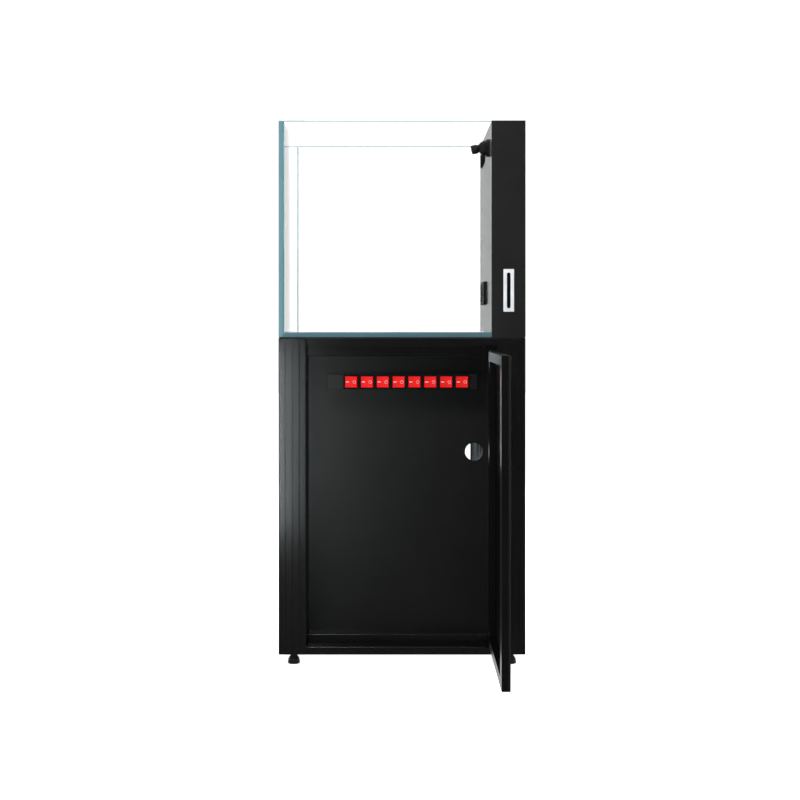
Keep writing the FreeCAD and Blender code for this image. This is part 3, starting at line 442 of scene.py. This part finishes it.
def printed_marks(node):
    """White dash and white ring printed on a rocker, as thin raised pads that follow its face."""
    low_corner, high_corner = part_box(node)
    centre_x = (low_corner[0] + high_corner[0]) / 2
    centre_z = (low_corner[2] + high_corner[2]) / 2
    surface = surface_of(node)
    form = bmesh.new()

    def pad(outlines, closed):
        """Raised strip between rows of points given as offsets from the centre of the key."""
        rows = []
        for lift in (MARK_SINK, MARK_LIFT):
            for outline in outlines:
                row = []
                for across, up in outline:
                    x, z = centre_x + across, centre_z + up
                    face_y = surface.ray_cast(Vector((x, -0.4, z)), Vector((0, 1, 0)))[0].y
                    row.append(form.verts.new((x, face_y + lift, z)))
                rows.append(row)
        top_a, top_b, low_a, low_b = rows
        count = len(top_a)
        for first in range(count if closed else count - 1):
            after = (first + 1) % count
            for side_a, side_b in ((top_a, top_b), (top_b, low_b), (low_b, low_a), (low_a, top_a)):
                form.faces.new((side_a[first], side_a[after], side_b[after], side_b[first]))
        if not closed:
            for end in (0, -1):
                form.faces.new((top_a[end], top_b[end], low_b[end], low_a[end]))

    dash = [DASH_START + DASH_STEP * step for step in range(9)]
    pad([[(x, -DASH_HALF_HEIGHT) for x in dash], [(x, DASH_HALF_HEIGHT) for x in dash]], False)
    turns = [2 * math.pi * step / 48 for step in range(48)]
    pad([[(RING_FROM_CENTRE + radius * math.cos(turn), radius * math.sin(turn)) for turn in turns]
         for radius in RING_RADII], True)
    piece = as_object(form, node + "_marks")
    piece.data.materials.append(MARK_WHITE)
    place_piece(piece, body_of(node))


for node in FEET:
    levelling_foot(node)
for node in ROCKERS:
    printed_marks(node)
return_fitting()


# ---------------------------------------------------------------- stage, lights, camera
def stage_floor():
    mesh = bpy.data.meshes.new("floor")
    reach = 14.0
    level = -0.0003
    mesh.from_pydata([(-reach, -reach, level), (reach, -reach, level), (reach, reach, level),
                      (-reach, reach, level)], [], [(0, 1, 2, 3)])
    floor = bpy.data.objects.new("floor", mesh)
    scene.collection.objects.link(floor)
    material, tree, shader, place = fresh("floor")
    patches = spread(tree, noise(tree, place, 1.5), 0.0, 1.0)
    tone = blend_colours(tree, patches, grey(0.84), grey(0.86))
    tree.links.new(tone, shader.inputs["Base Color"])
    shader.inputs["Roughness"].default_value = 0.9
    shader.inputs["Specular IOR Level"].default_value = 0.0
    shader.inputs["Emission Color"].default_value = grey(1.0)
    shader.inputs["Emission Strength"].default_value = 1.0
    mesh.materials.append(material)
    floor.visible_glossy = False


def studio_world():
    """White backdrop behind the object and a dim room in front of it."""
    world = bpy.data.worlds.new("studio")
    scene.world = world
    world.use_nodes = True
    tree = world.node_tree
    backdrop = tree.nodes["Background"]
    way = add(tree, "ShaderNodeTexCoord").outputs["Generated"]
    along = add(tree, "ShaderNodeSeparateXYZ", {"Vector": way}).outputs["Y"]
    behind = add(tree, "ShaderNodeMapRange", {
        "Value": along, "From Min": -0.1, "From Max": 0.6, "To Min": 0.0, "To Max": 1.0},
        interpolation_type="SMOOTHSTEP").outputs[0]
    room = blend_colours(tree, behind, grey(0.04), grey(1.3))
    path = add(tree, "ShaderNodeLightPath")
    bounced = add(tree, "ShaderNodeMath", {0: path.outputs["Glossy Depth"],
                                           1: path.outputs["Diffuse Depth"]}, operation="ADD")
    straight = add(tree, "ShaderNodeMath", {0: bounced.outputs[0], 1: 0.5}, operation="LESS_THAN")
    through = add(tree, "ShaderNodeMath", {0: path.outputs["Is Transmission Ray"],
                                           1: straight.outputs[0]}, operation="MULTIPLY")
    shown = blend_colours(tree, through.outputs[0], room, grey(1.45))
    colour = blend_colours(tree, path.outputs["Is Camera Ray"], shown, grey(1.05))
    tree.links.new(colour, backdrop.inputs["Color"])
    world.cycles.sampling_method = "NONE"


def softbox(name, place, target, width, height, power, spread_angle=180, shadow=True,
            colour=(1, 1, 1)):
    """Rectangular lamp that faces its target and is hidden from the camera."""
    data = bpy.data.lights.new(name, "AREA")
    data.shape = "RECTANGLE"
    data.size = width
    data.size_y = height
    data.energy = power
    data.spread = math.radians(spread_angle)
    data.use_shadow = shadow
    data.cycles.use_multiple_importance_sampling = shadow
    data.color = colour
    lamp = bpy.data.objects.new(name, data)
    lamp.location = place
    lamp.rotation_euler = (Vector(target) - Vector(place)).to_track_quat("-Z", "Y").to_euler()
    lamp.visible_camera = False
    scene.collection.objects.link(lamp)


def photo_camera():
    data = bpy.data.cameras.new("camera")
    data.lens = 65.1
    data.sensor_width = 36.0
    data.shift_y = -0.0930
    data.clip_end = 60.0
    camera = bpy.data.objects.new("camera", data)
    camera.location = (-0.0049, -3.777, 0.827)
    camera.rotation_euler = (math.radians(90), 0, 0)
    scene.collection.objects.link(camera)
    scene.camera = camera


stage_floor()
studio_world()
# the four small lamps make the grey gradients on the left post, the pipes and the open door
softbox("key", (-1.2, -2.4, 3.5), (0, -0.2, 0.8), 1.4, 1.2, 85)
softbox("strip", (-0.435, -1.27, 0.48), (-0.30, -0.2, 0.48), 0.12, 0.58, 1.1, 180, False,
        (0.90, 0.98, 1.0))
softbox("port", (0.152, -0.150, 0.545), (0.21, -0.08, 0.50), 0.02, 0.02, 0.12)
softbox("inside", (0.180, -0.255, 0.60), (0.184, -1.0, 0.60), 0.024, 0.24, 0.0045, 40,
        colour=(0.84, 0.92, 1.0))
softbox("rail", (0.183, -0.255, 0.7475), (0.187, -1.0, 0.7495), 0.04, 0.05, 0.0012, 60, False,
        (0.80, 0.90, 1.0))
softbox("top", (0.3, 0.5, 3.0), (0, 0, 0.6), 2.0, 1.6, 60)
softbox("rear", (1.8, 3.0, 2.0), (0, 0, 0.7), 1.6, 1.6, 60)
photo_camera()
scene.view_settings.view_transform = "Standard"
